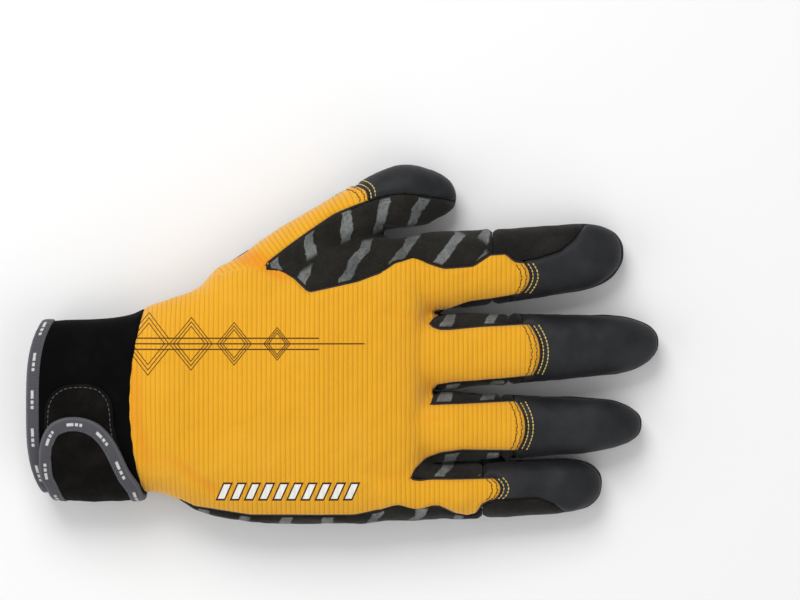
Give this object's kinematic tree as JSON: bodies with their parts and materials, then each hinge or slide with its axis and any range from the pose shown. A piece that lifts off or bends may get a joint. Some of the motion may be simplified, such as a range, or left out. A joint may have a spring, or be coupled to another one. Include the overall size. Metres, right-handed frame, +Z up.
{
  "type": "anti vibration glove",
  "caption": "Right-hand anti-vibration work glove lying palm down: ribbed knit back, grip-striped synthetic leather palm, smooth fingertip panels and a neoprene cuff with a wrist strap.",
  "frame": {"origin": "middle of the glove's bounding box, on the surface that the palm rests on", "axes": "+X from the cuff to the fingertips, +Y towards the thumb, +Z up out of the back of the hand"},
  "size_m": [0.2518, 0.1432, 0.0356],
  "materials": {
    "knit": "ribbed knit",
    "palm_leather": "fine suede grain",
    "tip_fabric": "smooth matt",
    "suede": "brushed suede",
    "neoprene": "matt jersey face",
    "loop_fabric": "napped loop",
    "tape": "woven tape"
  },
  "bodies": {
    "root": {"back_panel": "knit", "thumb_back": "knit", "palm_panel": "palm_leather", "fingertip_index": "tip_fabric", "fingertip_middle": "tip_fabric", "fingertip_ring": "tip_fabric", "fingertip_little": "tip_fabric", "fingertip_thumb": "tip_fabric", "tip_pad_index": "suede", "tip_pad_middle": "suede", "tip_pad_ring": "suede", "tip_pad_little": "suede", "cuff": "neoprene", "loop_patch": "loop_fabric", "strap": "loop_fabric", "cuff_binding": "tape", "strap_binding": "tape"}
  },
  "joints": []
}
